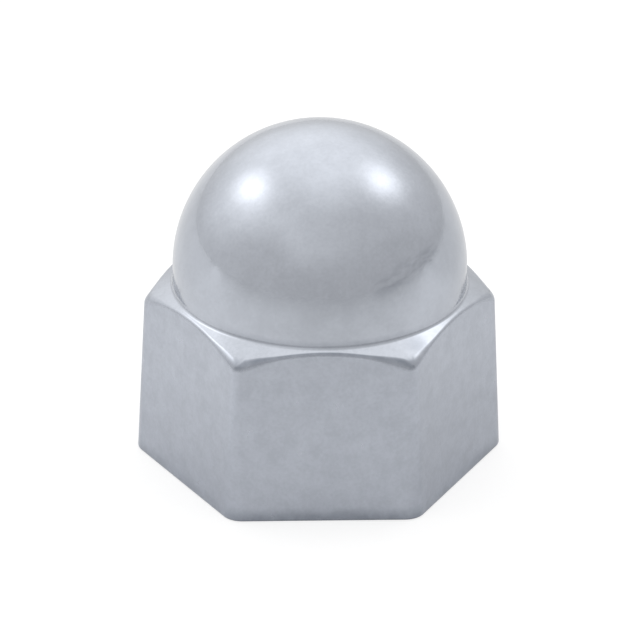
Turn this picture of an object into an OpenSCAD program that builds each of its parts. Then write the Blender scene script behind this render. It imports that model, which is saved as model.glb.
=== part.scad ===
// Acorn nut cover: a one-piece shell that is pushed over a hexagon nut and hides it, with the end
// of the stud above it. A six-sided skirt, drafted towards the top, carries a round dome.
//
// The origin is on the axis, in the plane of the open rim. +Z points to the top of the dome, two
// of the six flats face -Y and +Y, and two corners lie on the X axis. Lengths are in millimetres.

/* [Nut] */
// Width across the flats of the nut that the cover fits
nut_af = 19.05; // [16:0.05:25]
// Height of the nut, from the surface it is tightened on to its top face
nut_h = 11.1; // [9:0.1:14]
// Clearance on each flat, between the socket and the top of the nut
grip_gap = 0.05; // [0:0.01:0.3]

/* [Shell] */
// Thickness of the skirt at the middle of a flat, in the plane of the rim
wall = 1.3; // [1:0.05:1.8]
// Rise from the top face of the nut to the foot of the dome
roof_h = 1.6; // [1.4:0.1:3]
// Lean of the outer flats towards the axis
skirt_draft = 2.65; // [1.5:0.05:3]
// Lean of the socket's flats towards the axis
socket_draft = 1; // [0.5:0.1:1.5]

/* [Shoulder and dome] */
// Slope of the conical chamfer above the flats, down from the horizontal
chamfer_slope = 30; // [25:1:35]
// Step from the middle of a flat in to the foot of the dome, at the height of the foot
dome_step = 0.4; // [0.2:0.05:1]
// Height of the straight neck between the foot of the dome and its round part
neck_h = 1.25; // [0.8:0.05:4]
// Radius of the hollow where the neck rises from the chamfer
crease_r = 0.25; // [0.1:0.05:0.4]

/* [Edges] */
// Radius of the six upright corners at the rim; it shrinks with the draft as the skirt rises
corner_r = 1.5; // [1:0.05:2]
// Width of the bevel that breaks the edge between a flat and the chamfer
shoulder_bevel = 0.3; // [0.1:0.05:0.5]
// Width of the bevel that breaks the tip of the chamfer above each corner
tip_bevel = 0.7; // [0.3:0.05:1]
// Width and height of the bevel outside the rim
rim_bevel = 0.4; // [0.1:0.05:0.6]
// Radius of the six inner corners of the socket at the rim
socket_corner_r = 0.3; // [0.25:0.05:0.6]

/* [Hidden] */

PLATING = [0.75, 0.77, 0.81];
FLATS = 6;
HALF_FLAT = 180 / FLATS;
CORNER_FACETS = 42;
TURNED_FACETS = 96;
// Turn of the turned shapes, which keeps their seams off the corners and the middles of the flats
SEAM_TURN = 11;
// Smallest radius that a corner shrinks to
SHARP_R = 0.02;
// How far a cutting shape runs past the face it cuts
OVERCUT = 1;

// The socket just clears the nut at its top face, and opens out towards the rim
socket_apothem = nut_af / 2 + grip_gap + nut_h * tan(socket_draft);
skirt_apothem = socket_apothem + wall;
// The dome stands on the chamfer, a small step in from the flats
foot_z = nut_h + roof_h;
dome_r = skirt_apothem - foot_z * tan(skirt_draft) - dome_step;
dome_z = foot_z + neck_h;
cavity_r = dome_r - wall;
// Where the middle of a flat meets the chamfer
shoulder_drop = dome_step * tan(chamfer_slope) / (1 - tan(skirt_draft) * tan(chamfer_slope));
shoulder_z = foot_z - shoulder_drop;
shoulder_apothem = dome_r + shoulder_drop / tan(chamfer_slope);
// Where a corner meets the chamfer, in the chamfer's tip
corner_reach = (skirt_apothem - corner_r) / cos(HALF_FLAT) + corner_r;
tip_z = (foot_z - (corner_reach - dome_r) * tan(chamfer_slope))
    / (1 - tan(skirt_draft) * tan(chamfer_slope));
tip_reach = corner_reach - tip_z * tan(skirt_draft);
// Slope of the cones that bevel the shoulder, halfway between the chamfer and the flats
bevel_slope = (chamfer_slope + 90 - skirt_draft) / 2;

// Height of the chamfer's cone at a distance from the axis. Sinking the cone by a depth, measured
// square to its surface, gives the cone that runs parallel to it.
function cone_z(distance, depth) =
    foot_z - (distance - dome_r) * tan(chamfer_slope) - depth / cos(chamfer_slope);

// Apex of the cone that cuts a bevel of that width off an edge at a distance from the cone's axis
function bevel_apex_z(distance, edge_z, width) =
    edge_z + distance * tan(bevel_slope)
        - width / 2 * tan(bevel_slope - chamfer_slope) / cos(bevel_slope);

// Solid cone that stands on z = low
module cone_solid(apex_z, slope, low) {
    translate([0, 0, low])
        rotate(SEAM_TURN)
            cylinder(r1 = (apex_z - low) / tan(slope), r2 = 0, h = apex_z - low, $fn = TURNED_FACETS);
}

// Tapered six-sided bar with rounded corners, from z = low to z = high, bevelled round its foot.
// The apothem and the corner radius are those at z = 0: each corner is a cone that the flats touch.
module hex_bar(apothem, draft, corner, bevel, low, high) {
    half_facet = 180 / CORNER_FACETS;
    // A many-sided cone measures its radius to its edges, and the flats touch its sides
    widen = 1 / cos(half_facet);
    low_r = corner - low * tan(draft);
    high_r = max(corner - high * tan(draft), SHARP_R);
    hull()
        for (corner_index = [0 : FLATS - 1])
            rotate(corner_index * 360 / FLATS)
                translate([(apothem - corner) / cos(HALF_FLAT), 0, low])
                    rotate(HALF_FLAT - half_facet) {
                        translate([0, 0, bevel])
                            cylinder(
                                r1 = (low_r - bevel * tan(draft)) * widen, r2 = high_r * widen,
                                h = high - low - bevel, $fn = CORNER_FACETS
                            );
                        cylinder(r = (low_r - bevel) * widen, h = bevel, $fn = CORNER_FACETS);
                    }
}

// Solid skirt: drafted flats under a conical chamfer. A steeper cone round the axis breaks the tips
// above the corners, and one for each flat, its axis set back so that it follows the curved edge,
// breaks the edge between the flat and the chamfer.
module skirt() {
    set_back = shoulder_apothem * (tan(bevel_slope) / tan(chamfer_slope) - 1);
    flat_apex_z = bevel_apex_z(shoulder_apothem + set_back, shoulder_z, shoulder_bevel);
    intersection() {
        hex_bar(skirt_apothem, skirt_draft, corner_r, rim_bevel, 0, dome_z);
        cone_solid(cone_z(0, 0), chamfer_slope, -OVERCUT);
        cone_solid(bevel_apex_z(tip_reach, tip_z, tip_bevel), bevel_slope, -OVERCUT);
        intersection_for (flat_index = [0 : FLATS - 1])
            rotate(HALF_FLAT + flat_index * 360 / FLATS)
                translate([-set_back, 0, 0])
                    cone_solid(flat_apex_z, bevel_slope, -OVERCUT);
    }
}

// Half section of a round-topped post, from z = low to the top of a dome of that radius
module post_section(radius, low) {
    translate([0, low])
        square([radius, dome_z - low]);
    translate([0, dome_z])
        intersection() {
            circle(r = radius, $fn = TURNED_FACETS);
            square(radius);
        }
}

// Half section of the hollow round the foot of the neck: an arc that touches the neck and the cone
module crease_section() {
    centre_x = dome_r + crease_r;
    centre_z = cone_z(centre_x, -crease_r);
    touch_x = centre_x - crease_r * sin(chamfer_slope);
    low = foot_z - wall;
    difference() {
        translate([0, low])
            square([touch_x, centre_z - low]);
        translate([centre_x, centre_z])
            circle(r = crease_r, $fn = TURNED_FACETS);
    }
}

// Solid neck and dome, rooted one wall deep in the skirt
module dome() {
    rotate(SEAM_TURN)
        rotate_extrude($fn = TURNED_FACETS) {
            post_section(dome_r, foot_z - wall);
            crease_section();
        }
}

// Space inside: a six-sided socket for the nut under a roof parallel to the chamfer, and a
// round-topped hollow above it for the end of the stud
module cavity() {
    intersection() {
        hex_bar(socket_apothem, socket_draft, socket_corner_r, 0, -OVERCUT, dome_z);
        cone_solid(cone_z(0, wall), chamfer_slope, -OVERCUT);
    }
    rotate(SEAM_TURN)
        rotate_extrude($fn = TURNED_FACETS)
            post_section(cavity_r, 0);
}

module cover() {
    color(PLATING)
        difference() {
            union() {
                skirt();
                dome();
            }
            cavity();
        }
}

cover();
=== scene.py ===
"""Acorn nut cover on a pale studio floor.

The chromed shell is one closed mesh that stands for the CAD node "cover". It follows the sizes of
part.scad, and rounds smoothly the edges that the CAD solid only bevels. Lengths in the shape are
in millimetres; the materials, the studio and Blender work in metres.
"""

import math

import bpy
from mathutils import Matrix, Vector


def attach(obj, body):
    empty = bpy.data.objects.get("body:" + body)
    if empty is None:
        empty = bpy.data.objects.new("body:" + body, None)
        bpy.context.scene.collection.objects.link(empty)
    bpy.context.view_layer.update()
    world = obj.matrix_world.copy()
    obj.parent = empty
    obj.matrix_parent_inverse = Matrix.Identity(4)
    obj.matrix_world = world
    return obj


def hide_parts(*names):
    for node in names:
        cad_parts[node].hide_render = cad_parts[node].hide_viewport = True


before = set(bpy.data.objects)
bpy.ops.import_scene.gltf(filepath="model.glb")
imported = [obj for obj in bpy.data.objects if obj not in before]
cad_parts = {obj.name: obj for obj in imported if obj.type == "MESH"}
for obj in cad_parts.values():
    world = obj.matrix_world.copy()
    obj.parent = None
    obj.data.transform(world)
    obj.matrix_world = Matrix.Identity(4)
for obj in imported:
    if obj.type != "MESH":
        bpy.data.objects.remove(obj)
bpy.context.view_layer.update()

MM = 0.001

# ---- Sizes shared with part.scad ---------------------------------------------------------------

NUT_AF, NUT_H, GRIP_GAP = 19.05, 11.1, 0.05
WALL, ROOF_H = 1.3, 1.6
SKIRT_TILT = math.tan(math.radians(2.65))
SOCKET_TILT = math.tan(math.radians(1.0))
CHAMFER = math.radians(30.0)
DOME_STEP, NECK_H = 0.4, 1.25
CORNER_R, SOCKET_CORNER_R = 1.5, 0.3

FLATS = 6
HALF_FLAT = math.pi / FLATS
SOCKET_APOTHEM = NUT_AF / 2 + GRIP_GAP + NUT_H * SOCKET_TILT
SKIRT_APOTHEM = SOCKET_APOTHEM + WALL
FOOT_Z = NUT_H + ROOF_H
DOME_R = SKIRT_APOTHEM - FOOT_Z * SKIRT_TILT - DOME_STEP
DOME_Z = FOOT_Z + NECK_H
CAVITY_R = DOME_R - WALL

# Radii of the edges that are rounded here. The shoulder's fillet grows to its corner radius over
# the last run of each flat.
SHOULDER_R, SHOULDER_CORNER_R, SHOULDER_RUN = 0.36, 0.85, 3.0
RIM_R, CREASE_R = 0.18, 0.38
# Inside: the edge at the mouth of the socket and round the hollow, and the corner under the roof
MOUTH_R, ROOF_R = 0.15, 0.12
# Arc, turned round the axis, that rounds off the tip of the chamfer above each corner. It crosses
# the corner below it at this angle from the vertical.
TIP_R = 1.2
TIP_CROSSING = math.radians(22)

# Columns round the hexagon, and rows up each part of the wall
CORNER_COLUMNS, FLAT_COLUMNS = 16, 32
SKIRT_ROWS, FILLET_ROWS, CHAMFER_ROWS, NECK_ROWS, DOME_ROWS = 12, 8, 20, 3, 48
# Rounds in which a ball settles between a wall and a ceiling
SETTLING_ROUNDS = 40

# Values of the surface attributes that the material reads
SATIN, POLISHED = 0.0, 1.0
OUTSIDE, INSIDE = 0.0, 1.0
UNSHADED = 0.0
# Painted shade (dark reflections), row by row, up the fillet between a flat and the chamfer and
# up the crease
FILLET_SHADE = (0.0, 0.15, 0.35, 0.6, 0.85, 1.0, 1.0, 0.7)
CREASE_SHADE = (0.0, 0.0, 0.05, 0.15, 0.3, 0.45, 0.5, 0.45, 0.35)
# Painted shade (a dark reflection) on the chamfer's tips, which comes in over a run from this
# distance from the axis
TIP_SHADE, TIP_SHADE_FROM, TIP_SHADE_RUN = 0.65, 11.35, 0.4
# Share of the painted shade that the sides and the back show. The front shows all of it, from where
# a direction has this much of -Y in it and over this run.
SIDE_SHADE, FRONT_FROM, FRONT_RUN = 0.1, 0.6, 0.3


def cone_z(distance, depth=0.0):
    """Height of the chamfer's cone, sunk by a depth that is measured square to its surface."""
    return FOOT_Z - (distance - DOME_R) * math.tan(CHAMFER) - depth / math.cos(CHAMFER)


CORNER_REACH = (SKIRT_APOTHEM - CORNER_R) / math.cos(HALF_FLAT) + CORNER_R
tip_cross_z = cone_z(TIP_R * math.sin(CHAMFER)) - TIP_R * (
    math.cos(CHAMFER) - math.sin(TIP_CROSSING)
)
TIP_X = (CORNER_REACH - tip_cross_z * SKIRT_TILT - TIP_R * math.cos(TIP_CROSSING)) / (
    1 - SKIRT_TILT * math.tan(CHAMFER)
)
TIP_Z = cone_z(TIP_X + TIP_R * math.sin(CHAMFER)) - TIP_R * math.cos(CHAMFER)


def tip_z(distance, depth=0.0):
    """Height of the chamfer with its rounded tip, sunk by a depth square to its surface."""
    radius = TIP_R - depth
    if distance <= TIP_X + radius * math.sin(CHAMFER):
        return cone_z(distance, depth)
    return TIP_Z + math.sqrt(radius ** 2 - (distance - TIP_X) ** 2)


def unit(angle):
    return Vector((math.cos(angle), math.sin(angle)))


def eased(share):
    """A share from 0 to 1 that starts and ends gently."""
    share = min(max(share, 0), 1)
    return share * share * (3 - 2 * share)


def hexagon_columns(apothem, corner):
    """(point of the hexagon's core, direction of its outline, nearness to a corner) all round."""
    reach = (apothem - corner) / math.cos(HALF_FLAT)
    columns = []
    for side in range(FLATS):
        middle = side * 2 * HALF_FLAT
        here, ahead = unit(middle) * reach, unit(middle + 2 * HALF_FLAT) * reach
        for step in range(CORNER_COLUMNS):
            turn = (step / CORNER_COLUMNS - 0.5) * 2 * HALF_FLAT
            columns.append((here, unit(middle + turn), 1))
        for step in range(FLAT_COLUMNS):
            way = step / FLAT_COLUMNS
            near = 1 - eased(min(way, 1 - way) * reach / SHOULDER_RUN)
            columns.append((here.lerp(ahead, way), unit(middle + HALF_FLAT), near))
    return columns


def raised(flat, z):
    return Vector((flat.x, flat.y, z))


def ball_under(ceiling_z, core, out, corner, tilt, radius, depth):
    """Centre of a ball that touches a tapered wall, and a turned ceiling from below."""
    slack = radius * math.sqrt(1 + tilt * tilt)
    z = FOOT_Z
    for _ in range(SETTLING_ROUNDS):
        flat = core + out * (corner - z * tilt - slack)
        z = ceiling_z(flat.length, depth + radius)
    return raised(flat, z)


def arc_between(first, last, steps):
    """Unit directions that turn evenly from one to the other, both included."""
    angle = first.angle(last)
    return [
        (
            first * math.sin((1 - step / steps) * angle) + last * math.sin(step / steps * angle)
        ) / math.sin(angle)
        for step in range(steps + 1)
    ]


def wall_profile(ceiling_z, core, out, corner, tilt, radius, depth, z_low, rows):
    """Wall from z_low up, its fillet under the ceiling, and the normals, for one column."""
    normal = Vector((out.x, out.y, tilt)).normalized()
    ball = ball_under(ceiling_z, core, out, corner, tilt, radius, depth)
    radial = ball.xy.normalized()
    lean = CHAMFER
    if ceiling_z is tip_z:
        lean = max(lean, math.atan2(ball.xy.length - TIP_X, ball.z - TIP_Z))
    slope = raised(radial * math.sin(lean), math.cos(lean))
    z_high = ball.z + radius * normal.z
    profile = []
    for row in range(rows):
        z = z_low + (z_high - z_low) * row / rows
        profile.append((raised(core + out * (corner - z * tilt), z), normal))
    for direction in arc_between(normal, slope, FILLET_ROWS):
        profile.append((ball + direction * radius, direction))
    return profile


def front_shade(out):
    """Share of the painted shade that an edge with this outward direction shows."""
    return SIDE_SHADE + (1 - SIDE_SHADE) * eased((-out.y - FRONT_FROM) / FRONT_RUN)


def tip_shade(point):
    """Painted shade, a dark reflection, at the tip of the chamfer above a corner."""
    past = point.xy.length - TIP_SHADE_FROM
    return TIP_SHADE * eased(past / TIP_SHADE_RUN) * front_shade(point.xy.normalized())


def chamfer_rows(radial, shoulder, slope, touch):
    """(point, normal, polish, painted shade) from the fillet to the crease: round the tip, then
    straight.
    """
    turned = max(math.atan2(shoulder.xy.length - TIP_X, shoulder.z - TIP_Z) - CHAMFER, 0)
    tip_top = shoulder
    if turned > 0:
        tip_top = raised(radial * TIP_X, TIP_Z) + slope * TIP_R
    arc_length, line_length = TIP_R * turned, (touch - tip_top).length
    rows = []
    for row in range(CHAMFER_ROWS):
        way = row / CHAMFER_ROWS * (arc_length + line_length)
        if way < arc_length:
            lean = CHAMFER + turned - way / TIP_R
            normal = raised(radial * math.sin(lean), math.cos(lean))
            point = raised(radial * TIP_X, TIP_Z) + normal * TIP_R
        else:
            normal = slope
            point = tip_top.lerp(touch, (way - arc_length) / line_length)
        rows.append((point, normal, POLISHED, tip_shade(point)))
    return rows


def outer_column(core, out, near):
    """(point, normal, polish, painted shade) from the rim's face up to the pole of the dome."""
    tilt_normal = Vector((out.x, out.y, SKIRT_TILT)).normalized()
    down = Vector((0, 0, -1))
    rim_inset = RIM_R * math.sqrt(1 + SKIRT_TILT ** 2)
    rim_ball = raised(core + out * (CORNER_R - RIM_R * SKIRT_TILT - rim_inset), RIM_R)
    column = [
        (rim_ball + direction * RIM_R, direction, SATIN, UNSHADED)
        for direction in arc_between(down, tilt_normal, FILLET_ROWS)[:-1]
    ]
    shoulder_r = SHOULDER_R + (SHOULDER_CORNER_R - SHOULDER_R) * near
    wall = wall_profile(
        tip_z, core, out, CORNER_R, SKIRT_TILT, shoulder_r, 0, RIM_R + RIM_R * tilt_normal.z,
        SKIRT_ROWS
    )
    for row, (point, normal) in enumerate(wall[:-1]):
        turned = max(row - SKIRT_ROWS, 0)
        polish = turned / FILLET_ROWS
        shaded = max(FILLET_SHADE[turned] * front_shade(out), tip_shade(point) * polish)
        column.append((point, normal, polish, shaded))
    shoulder = wall[-1][0]
    radial = shoulder.xy.normalized()
    slope = raised(radial * math.sin(CHAMFER), math.cos(CHAMFER))
    crease_x = DOME_R + CREASE_R
    crease = raised(radial * crease_x, cone_z(crease_x, -CREASE_R))
    touch = crease - slope * CREASE_R
    column += chamfer_rows(radial, shoulder, slope, touch)
    side = raised(radial, 0)
    for direction, shaded in zip(arc_between(slope, side, FILLET_ROWS), CREASE_SHADE):
        point = crease - direction * CREASE_R
        column.append((point, direction, POLISHED, shaded * front_shade(radial)))
    foot = column[-1][0]
    for row in range(1, NECK_ROWS):
        z = foot.z + (DOME_Z - foot.z) * row / NECK_ROWS
        column.append((raised(radial * DOME_R, z), side, POLISHED, UNSHADED))
    for row in range(DOME_ROWS):
        rise = row / DOME_ROWS * math.pi / 2
        direction = raised(radial * math.cos(rise), math.sin(rise))
        point = raised(Vector((0, 0)), DOME_Z) + direction * DOME_R
        column.append((point, direction, POLISHED, UNSHADED))
    return column


def inner_column(core, out, _near):
    """(point, normal) of the cavity, from the rim's face up to its pole, normals into the air."""
    normal = Vector((out.x, out.y, SOCKET_TILT)).normalized()
    down = Vector((0, 0, -1))
    mouth_inset = MOUTH_R * math.sqrt(1 + SOCKET_TILT ** 2)
    mouth = raised(core + out * (SOCKET_CORNER_R - MOUTH_R * SOCKET_TILT + mouth_inset), MOUTH_R)
    column = [
        (mouth + direction * MOUTH_R, direction)
        for direction in arc_between(down, -normal, FILLET_ROWS // 2)[:-1]
    ]
    wall = wall_profile(
        cone_z, core, out, SOCKET_CORNER_R, SOCKET_TILT, ROOF_R, WALL,
        MOUTH_R - MOUTH_R * normal.z, SKIRT_ROWS // 2
    )
    column += [(point, -direction) for point, direction in wall]
    roof = column[-1][0]
    radial = roof.xy.normalized()
    slope = raised(radial * -math.sin(CHAMFER), -math.cos(CHAMFER))
    side = raised(-radial, 0)
    lip_x = CAVITY_R + MOUTH_R
    lip = raised(radial * lip_x, cone_z(lip_x, WALL - MOUTH_R))
    touch = lip + slope * MOUTH_R
    for row in range(1, CHAMFER_ROWS):
        column.append((roof.lerp(touch, row / CHAMFER_ROWS), slope))
    for direction in arc_between(slope, side, FILLET_ROWS // 2):
        column.append((lip + direction * MOUTH_R, direction))
    foot = column[-1][0]
    for row in range(1, NECK_ROWS):
        z = foot.z + (DOME_Z - foot.z) * row / NECK_ROWS
        column.append((raised(radial * CAVITY_R, z), side))
    for row in range(DOME_ROWS):
        rise = row / DOME_ROWS * math.pi / 2
        direction = raised(radial * math.cos(rise), math.sin(rise))
        column.append((raised(Vector((0, 0)), DOME_Z) + direction * CAVITY_R, -direction))
    return column


def build_shell():
    """One closed skin: cavity from its pole down, across the rim's face, and up the outside."""
    outer = [outer_column(*c) for c in hexagon_columns(SKIRT_APOTHEM, CORNER_R)]
    inner = [inner_column(*c) for c in hexagon_columns(SOCKET_APOTHEM, SOCKET_CORNER_R)]
    width = len(outer)
    rows = []
    for index in range(len(inner[0]) - 1, -1, -1):
        rows.append([(*column[index], SATIN, UNSHADED, INSIDE) for column in inner])
    for index in range(len(outer[0])):
        rows.append([(*column[index], OUTSIDE) for column in outer])
    points, normals, polish, shade_and_wear, inside = [], [], [], [], []
    for row in rows:
        for point, normal, shine, shaded, inner_side in row:
            points.append(point * MM)
            normals.append(normal)
            polish.append(shine)
            shade_and_wear.append(shaded)
            inside.append(inner_side)
    cavity_pole, dome_pole = len(points), len(points) + 1
    points += [Vector((0, 0, DOME_Z + CAVITY_R)) * MM, Vector((0, 0, DOME_Z + DOME_R)) * MM]
    normals += [Vector((0, 0, -1)), Vector((0, 0, 1))]
    polish += [SATIN, POLISHED]
    shade_and_wear += [UNSHADED, UNSHADED]
    inside += [INSIDE, OUTSIDE]
    faces = []
    for row in range(len(rows) - 1):
        for column in range(width):
            beside = (column + 1) % width
            low, high = row * width, (row + 1) * width
            faces.append((low + column, low + beside, high + beside, high + column))
    top = (len(rows) - 1) * width
    for column in range(width):
        beside = (column + 1) % width
        faces.append((beside, column, cavity_pole))
        faces.append((top + column, top + beside, dome_pole))
    mesh = bpy.data.meshes.new("cover_shell")
    mesh.from_pydata(points, [], faces)
    # The middle attribute carries painted shade: dark reflections on fillet, crease and chamfer
    # tips
    for name, values in (("polish", polish), ("shade_and_wear", shade_and_wear), ("inside", inside)):
        mesh.attributes.new(name, "FLOAT", "POINT").data.foreach_set("value", values)
    mesh.polygons.foreach_set("use_smooth", [True] * len(mesh.polygons))
    mesh.normals_split_custom_set_from_vertices(normals)
    shell = bpy.data.objects.new("cover_shell", mesh)
    bpy.context.scene.collection.objects.link(shell)
    return shell


# ---- Materials ---------------------------------------------------------------------------------


def add(tree, kind, inputs=None, **settings):
    """A node with its settings and inputs; an input is a value or another node's output."""
    node = tree.nodes.new(kind)
    for name, value in settings.items():
        setattr(node, name, value)
    for name, value in (inputs or {}).items():
        if isinstance(value, bpy.types.NodeSocket):
            tree.links.new(value, node.inputs[name])
        else:
            node.inputs[name].default_value = value
    return node


def fresh_tree(owner):
    owner.use_nodes = True
    owner.node_tree.nodes.clear()
    return owner.node_tree


def maths(tree, operation, first, second=0.0, third=0.0):
    node = add(tree, "ShaderNodeMath", {0: first, 1: second, 2: third}, operation=operation)
    return node.outputs[0]


def dot(tree, vector, axis):
    node = add(tree, "ShaderNodeVectorMath", {0: vector, 1: axis}, operation="DOT_PRODUCT")
    return node.outputs["Value"]


def blend_colour(tree, factor, first, second):
    node = add(tree, "ShaderNodeMix", {0: factor, 6: first, 7: second}, data_type="RGBA")
    return node.outputs[2]


def noise(tree, vector, scale, detail=4.0, roughness=0.55, distortion=0.0):
    node = add(
        tree, "ShaderNodeTexNoise",
        {
            "Vector": vector, "Scale": scale, "Detail": detail, "Roughness": roughness,
            "Distortion": distortion,
        },
    )
    return node.outputs["Fac"]


def spread(tree, value, low, high, out_low, out_high):
    node = add(
        tree, "ShaderNodeMapRange",
        {"Value": value, "From Min": low, "From Max": high, "To Min": out_low, "To Max": out_high},
        interpolation_type="SMOOTHSTEP",
    )
    return node.outputs[0]


def faded(tree, value, full, gone, most=1.0):
    """Most within a distance of zero, and nothing beyond another."""
    return spread(tree, maths(tree, "ABSOLUTE", value), full, gone, most, 0.0)


CHROME_BRIGHT = (0.475, 0.500, 0.550, 1.0)
CHROME_SATIN = (0.464, 0.490, 0.545, 1.0)
CHROME_INSIDE = (0.330, 0.345, 0.370, 1.0)
# Dark chrome for the painted shade on the edges, the foot and the chamfer spot, and for the rubs
CHROME_SHADE_AND_WEAR = (0.250, 0.272, 0.315, 1.0)
# Waves per metre of the plating's slow, middling and fine unevenness
CLOUD_SCALE, MOTTLE_SCALE, GRAIN_SCALE = 260.0, 900.0, 4200.0
# Roughness of the flats and of the dome, each between two values, and what the inside adds
SATIN_ROUGH, BRIGHT_ROUGH, INSIDE_ROUGH = (0.27, 0.35), (0.115, 0.165), 0.12

# Ends of a line of rubs low on the right of the dome, and the painted shade below it: a greyed spot
# on the chamfer that stands for a darker reflection there
SCUFF_START = Vector((0.00330, -0.00905, 0.01640))
SCUFF_END = Vector((0.00790, -0.00500, 0.01775))
SHADE_SPOT = (0.00625, -0.00875, 0.01230)
# Waves per metre of the rubs, along the line and across it
SCUFF_ALONG, SCUFF_ACROSS = 520.0, 1500.0
# Darkness of the rubs, and of the painted shade on the greyed spot
SCUFF_WEAR, SHADE_SPOT_DEPTH = 0.42, 0.42
# Painted shade along the foot of the front flats, for the reflected contact shadow of the floor,
# and the heights between which it fades
FOOT_SHADE, FOOT_LOW, FOOT_HIGH = 0.8, 0.0002, 0.0012


def shades(colour, *shares):
    """The same colour made lighter or darker by each share."""
    return [tuple(share * c for c in colour[:3]) + (1.0,) for share in shares]


def scuffs(tree, place):
    """Faint dark rubs on the dome, along a line that climbs to the right."""
    run = (SCUFF_END - SCUFF_START).normalized()
    middle = (SCUFF_START + SCUFF_END) / 2
    outward = (middle - Vector((0, 0, DOME_Z * MM))).normalized()
    across = outward.cross(run).normalized()
    offset = add(tree, "ShaderNodeVectorMath", {0: place, 1: middle}, operation="SUBTRACT")
    offset = offset.outputs[0]
    along, aside = dot(tree, offset, run), dot(tree, offset, across)
    within = maths(
        tree, "MULTIPLY",
        faded(tree, along, 0.0018, 0.0040), faded(tree, aside, 0.0001, 0.0012)
    )
    # Only on the skin of the dome, not on the far side of it
    skin = spread(tree, dot(tree, offset, outward), -0.003, -0.002, 0.0, 1.0)
    within = maths(tree, "MULTIPLY", within, skin)
    grain_place = add(
        tree, "ShaderNodeCombineXYZ",
        {
            0: maths(tree, "MULTIPLY", along, SCUFF_ALONG),
            1: maths(tree, "MULTIPLY", aside, SCUFF_ACROSS),
            2: 3.0,
        }
    )
    streak = noise(tree, grain_place.outputs[0], 1.0, 2.0, 0.6, 0.4)
    return maths(tree, "MULTIPLY", within, spread(tree, streak, 0.38, 0.68, 0.0, SCUFF_WEAR))


def painted_shade_spot(tree, place):
    """Painted shade: a greyed spot on the chamfer, in front on the right, for a darker reflection.
    """
    away = add(
        tree, "ShaderNodeVectorMath", {0: place, 1: SHADE_SPOT}, operation="DISTANCE"
    ).outputs["Value"]
    return faded(tree, away, 0.0001, 0.0012, SHADE_SPOT_DEPTH)


def foot_shade(tree, place, normal):
    """Painted shade: a dark line along the foot of the flats, most on the front, for the reflected
    contact shadow.
    """
    height = add(tree, "ShaderNodeSeparateXYZ", {0: place}).outputs["Z"]
    facing = add(tree, "ShaderNodeSeparateXYZ", {0: normal}).outputs["Y"]
    front = spread(tree, maths(tree, "MULTIPLY", facing, -1.0), 0.3, 0.9, SIDE_SHADE, 1.0)
    return maths(
        tree, "MULTIPLY", spread(tree, height, FOOT_LOW, FOOT_HIGH, FOOT_SHADE, 0.0), front
    )


def chrome_material():
    material = bpy.data.materials.new("chrome_plating")
    tree = fresh_tree(material)
    coordinates = add(tree, "ShaderNodeTexCoord").outputs
    place, normal = coordinates["Object"], coordinates["Normal"]
    polish, inside, shade_and_wear = (
        add(tree, "ShaderNodeAttribute", attribute_name=name).outputs["Fac"]
        for name in ("polish", "inside", "shade_and_wear")
    )
    cloud = noise(tree, place, CLOUD_SCALE, 3.0)
    mottle = noise(tree, place, MOTTLE_SCALE, 5.0, 0.65)
    grain = noise(tree, place, GRAIN_SCALE, 3.0, 0.6)

    speckle = maths(tree, "MULTIPLY_ADD", grain, 0.5, maths(tree, "MULTIPLY", mottle, 0.65))
    satin = blend_colour(
        tree, spread(tree, speckle, 0.375, 0.775, 0.0, 1.0), *shades(CHROME_SATIN, 1.035, 0.92)
    )
    film = maths(tree, "MULTIPLY_ADD", speckle, 0.6, maths(tree, "MULTIPLY", cloud, 0.4))
    bright = blend_colour(
        tree, spread(tree, film, 0.39, 0.70, 0.0, 1.0), *shades(CHROME_BRIGHT, 1.04, 0.93)
    )
    outside = blend_colour(tree, polish, satin, bright)
    # Painted shade (dark reflections on the edges and the foot, and the greyed spot) and the real
    # rubs on the dome, blended to dark chrome
    shade_and_wear = maths(tree, "MAXIMUM", shade_and_wear, foot_shade(tree, place, normal))
    shade_and_wear = maths(tree, "MULTIPLY", shade_and_wear, spread(tree, mottle, 0.3, 0.7, 0.7, 1.0))
    shade_and_wear = maths(tree, "MAXIMUM", shade_and_wear, scuffs(tree, place))
    shade_and_wear = maths(tree, "MAXIMUM", shade_and_wear, painted_shade_spot(tree, place))
    outside = blend_colour(tree, shade_and_wear, outside, CHROME_SHADE_AND_WEAR)
    colour = blend_colour(tree, inside, outside, CHROME_INSIDE)

    satin_rough = spread(tree, mottle, 0.25, 0.75, *SATIN_ROUGH)
    bright_rough = spread(tree, cloud, 0.3, 0.75, *BRIGHT_ROUGH)
    difference = maths(tree, "SUBTRACT", bright_rough, satin_rough)
    roughness = maths(tree, "MULTIPLY_ADD", difference, polish, satin_rough)
    roughness = maths(tree, "MULTIPLY_ADD", inside, INSIDE_ROUGH, roughness)

    wave = add(
        tree, "ShaderNodeBump", {"Strength": 0.15, "Distance": 0.0002, "Height": cloud}
    ).outputs["Normal"]
    fine = add(
        tree, "ShaderNodeBump",
        {"Strength": 0.11, "Distance": 0.00002, "Height": grain, "Normal": wave}
    ).outputs["Normal"]
    surface = add(
        tree, "ShaderNodeBsdfPrincipled",
        {"Base Color": colour, "Metallic": 1.0, "Roughness": roughness, "Normal": fine},
    )
    out = add(tree, "ShaderNodeOutputMaterial")
    tree.links.new(surface.outputs[0], out.inputs["Surface"])
    return material


# Painted light and shade of the floor in the metal: 1 round the object, falling off ahead of its
# front edge towards the far level. The fall is per metre.
FLOOR_FAR_LIGHT, FLOOR_FALL, FLOOR_FRONT = 0.66, 20.0, 0.012
# Painted light of the floor towards the back and towards the left
FLOOR_BACK_LIGHT, FLOOR_LEFT_LIGHT = 0.88, 1.09
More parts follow.
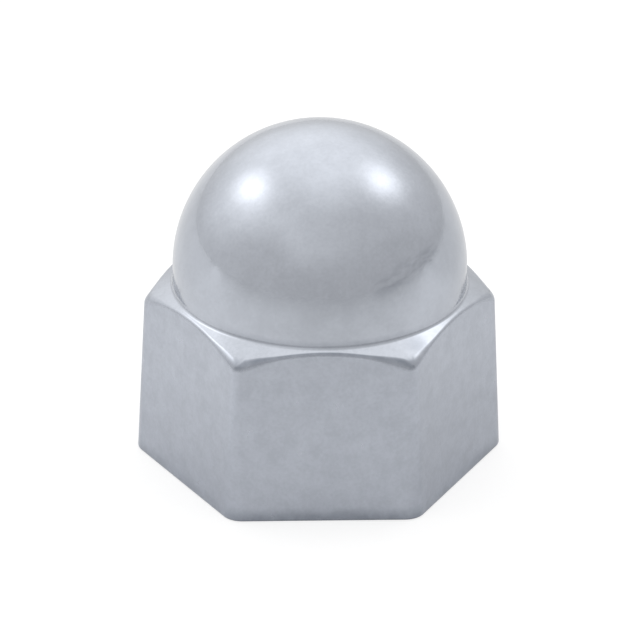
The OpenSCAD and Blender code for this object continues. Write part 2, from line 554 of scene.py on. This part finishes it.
# Painted shadow: a darker ring beside the object, weaker on the left
SHADOW_RING_R, SHADOW_RING_WIDTH, SHADOW_RING_DEPTH, SHADOW_RING_LEFT = 0.019, 0.006, 0.12, 0.55
FLOOR_COLOUR = (0.87, 0.87, 0.87)
# Share of plain light in the floor as seen straight and in the metal, and how much brighter it is
# than white where it is seen straight
SEEN_SHARE, MIRRORED_SHARE, SEEN_LIFT = 0.6, 0.05, 0.15


def painted_floor_light(tree, place):
    axes = add(tree, "ShaderNodeSeparateXYZ", {0: place})
    across, along = axes.outputs["X"], axes.outputs["Y"]
    # Painted light: the floor darker ahead of the object, darker at the back and lighter on the
    # left
    ahead = maths(tree, "MULTIPLY_ADD", along, -FLOOR_FALL, -FLOOR_FALL * FLOOR_FRONT)
    ahead = maths(tree, "ADD", maths(tree, "MAXIMUM", ahead, 0.0), 1.0)
    painted_light = maths(tree, "ADD", maths(tree, "DIVIDE", 1 - FLOOR_FAR_LIGHT, ahead), FLOOR_FAR_LIGHT)
    back = spread(tree, along, -0.01, 0.03, 1.0, FLOOR_BACK_LIGHT)
    left = spread(tree, across, -0.03, 0.0, FLOOR_LEFT_LIGHT, 1.0)
    painted_light = maths(tree, "MULTIPLY", maths(tree, "MULTIPLY", painted_light, back), left)

    # Painted shadow: a darker ring on the floor beside the object
    away = add(tree, "ShaderNodeVectorMath", {0: place}, operation="LENGTH").outputs["Value"]
    away = maths(tree, "MULTIPLY_ADD", away, 1 / SHADOW_RING_WIDTH, -SHADOW_RING_R / SHADOW_RING_WIDTH)
    away = maths(tree, "MULTIPLY", away, away)
    shadow_ring = maths(tree, "EXPONENT", maths(tree, "MULTIPLY", away, -1.0))
    beside = maths(
        tree, "ADD",
        spread(tree, across, 0.003, 0.012, 0.0, 1.0),
        spread(tree, across, -0.012, -0.003, SHADOW_RING_LEFT, 0.0),
    )
    shadow_ring = maths(tree, "MULTIPLY", shadow_ring, beside)
    return maths(tree, "MULTIPLY", painted_light, maths(tree, "MULTIPLY_ADD", shadow_ring, -SHADOW_RING_DEPTH, 1.0))


def floor_material():
    """Pale matt floor. What looks at it straight sees more than half of it as plain white, which
    keeps the background white and the object's shadow soft. Elsewhere, as in the metal, its colour
    has painted light and shade: the uneven light of a table in a lit tent and a painted shadow ring
    beside the object."""
    material = bpy.data.materials.new("pale_floor")
    tree = fresh_tree(material)
    place = add(tree, "ShaderNodeTexCoord").outputs["Object"]
    rays = add(tree, "ShaderNodeLightPath").outputs
    seen = rays["Is Camera Ray"]
    mirrored = maths(tree, "MAXIMUM", rays["Is Glossy Ray"], rays["Is Transmission Ray"])
    unseen = maths(tree, "SUBTRACT", 1.0, seen)
    painted_light = maths(tree, "MULTIPLY_ADD", painted_floor_light(tree, place), unseen, seen)
    tint = add(
        tree, "ShaderNodeVectorMath", {0: FLOOR_COLOUR, "Scale": painted_light}, operation="SCALE"
    ).outputs[0]
    matt = add(tree, "ShaderNodeBsdfDiffuse", {"Color": tint})
    glow = maths(tree, "MULTIPLY_ADD", seen, SEEN_LIFT, painted_light)
    white = add(tree, "ShaderNodeEmission", {"Color": (1, 1, 1, 1), "Strength": glow})
    share = maths(
        tree, "MULTIPLY_ADD", mirrored, MIRRORED_SHARE, maths(tree, "MULTIPLY", seen, SEEN_SHARE)
    )
    mixed = add(tree, "ShaderNodeMixShader", {0: share})
    tree.links.new(matt.outputs[0], mixed.inputs[1])
    tree.links.new(white.outputs[0], mixed.inputs[2])
    out = add(tree, "ShaderNodeOutputMaterial")
    tree.links.new(mixed.outputs[0], out.inputs["Surface"])
    return material


# ---- Object ------------------------------------------------------------------------------------

shell = build_shell()
shell.data.materials.append(chrome_material())
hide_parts("cover")
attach(shell, "root")

# ---- Studio ------------------------------------------------------------------------------------

FLOOR_HALF = 1.5
floor_mesh = bpy.data.meshes.new("floor")
floor_mesh.from_pydata(
    [(x * FLOOR_HALF, y * FLOOR_HALF, 0) for x, y in ((-1, -1), (1, -1), (1, 1), (-1, 1))],
    [], [(0, 1, 2, 3)]
)
floor_mesh.materials.append(floor_material())
floor = bpy.data.objects.new("floor", floor_mesh)
bpy.context.scene.collection.objects.link(floor)


# Lit panels round the tent, each a soft-edged oval: where it lies (azimuth from +X and height, in
# degrees), its half width and half height as tangents, its spin in degrees, and its brightness
PANELS = (
    (155.0, 43.9, 0.274, 0.159, 39.6, 1.165),
    (27.9, 46.5, 0.262, 0.184, -36.0, 1.074),
    (178.4, 40.2, 0.835, 0.272, 33.6, 0.377),
    (105.1, 59.0, 0.838, 0.965, -16.2, 0.801),
    (-23.0, 72.4, 0.626, 1.800, 75.3, 0.344),
)
# Brightness of the tent itself at heights 0, 0.25, 0.6 and 1 of the direction's Z
TENT_FRONT = (0.725, 0.734, 0.754, 0.492)
TENT_BACK = (0.79, 0.89, 0.854, 0.492)
TENT_HEIGHTS = (0.0, 0.25, 0.6, 1.0)
# How much of the tent's brightness is lost towards +X
TENT_LEAN = -0.075


def panel_light(tree, direction, azimuth, height, width, tall, spin, strength):
    azimuth, height, spin = (math.radians(angle) for angle in (azimuth, height, spin))
    aim = Vector((math.cos(height) * math.cos(azimuth), math.cos(height) * math.sin(azimuth),
                  math.sin(height)))
    level = Vector((0, 0, 1)).cross(aim).normalized()
    upward = aim.cross(level)
    across = (math.cos(spin) * level + math.sin(spin) * upward) / width
    along = (math.cos(spin) * upward - math.sin(spin) * level) / tall
    facing = maths(tree, "MAXIMUM", dot(tree, direction, aim), 0.001)
    off = [
        maths(tree, "POWER", maths(tree, "DIVIDE", dot(tree, direction, axis), facing), 2.0)
        for axis in (across, along)
    ]
    fall = maths(tree, "MULTIPLY", maths(tree, "ADD", off[0], off[1]), -1.0)
    return maths(tree, "MULTIPLY", maths(tree, "EXPONENT", fall), strength)


def tent_ramp(tree, height, levels):
    ramp = add(tree, "ShaderNodeValToRGB", {"Fac": height})
    stops = ramp.color_ramp.elements
    while len(stops) < len(levels):
        stops.new(0.5)
    for stop, position, level in zip(stops, TENT_HEIGHTS, levels):
        stop.position, stop.color = position, (level, level, level, 1)
    return ramp.outputs["Color"]


def studio_world():
    """A pale tent, lighter behind than in front, with soft lit panels in it."""
    world = bpy.data.worlds.new("tent")
    tree = fresh_tree(world)
    direction = add(tree, "ShaderNodeTexCoord").outputs["Generated"]
    axes = add(tree, "ShaderNodeSeparateXYZ", {0: direction})
    behind = spread(tree, axes.outputs["Y"], -1.0, 0.9, 0.0, 1.0)
    front = tent_ramp(tree, axes.outputs["Z"], TENT_FRONT)
    back = tent_ramp(tree, axes.outputs["Z"], TENT_BACK)
    tent = blend_colour(tree, behind, front, back)
    lean = maths(tree, "MULTIPLY_ADD", axes.outputs["X"], TENT_LEAN, 1.0)
    light = maths(tree, "MULTIPLY", tent, lean)
    for panel in PANELS:
        light = maths(tree, "ADD", light, panel_light(tree, direction, *panel))
    shade = add(tree, "ShaderNodeBackground", {"Color": (1, 1, 1, 1), "Strength": light})
    out = add(tree, "ShaderNodeOutputWorld")
    tree.links.new(shade.outputs[0], out.inputs["Surface"])
    return world


bpy.context.scene.world = studio_world()

# ---- Camera ------------------------------------------------------------------------------------

CAMERA_DISTANCE = 0.38343
CAMERA_TILT = math.radians(27.14)
CAMERA_ROLL = math.radians(0.37)
OBJECT_TURN = math.radians(2.0)
TARGET = Vector((-0.3106, 0, 10.055)) * MM
SENSOR, LENS = 36.0, 318.8

forward = Vector((0, math.cos(CAMERA_TILT), -math.sin(CAMERA_TILT)))
level = Vector((1, 0, 0))
upward = level.cross(forward)
right = math.cos(CAMERA_ROLL) * level + math.sin(CAMERA_ROLL) * upward
top = -math.sin(CAMERA_ROLL) * level + math.cos(CAMERA_ROLL) * upward
view = Matrix((right, top, -forward)).transposed().to_4x4()
view.translation = TARGET - CAMERA_DISTANCE * forward

camera_data = bpy.data.cameras.new("camera")
camera_data.sensor_width = SENSOR
camera_data.lens = LENS
camera_data.clip_start = 0.01
camera = bpy.data.objects.new("camera", camera_data)
camera.matrix_world = Matrix.Rotation(-OBJECT_TURN, 4, "Z") @ view
bpy.context.scene.collection.objects.link(camera)
bpy.context.scene.camera = camera
bpy.context.scene.view_settings.view_transform = "Standard"
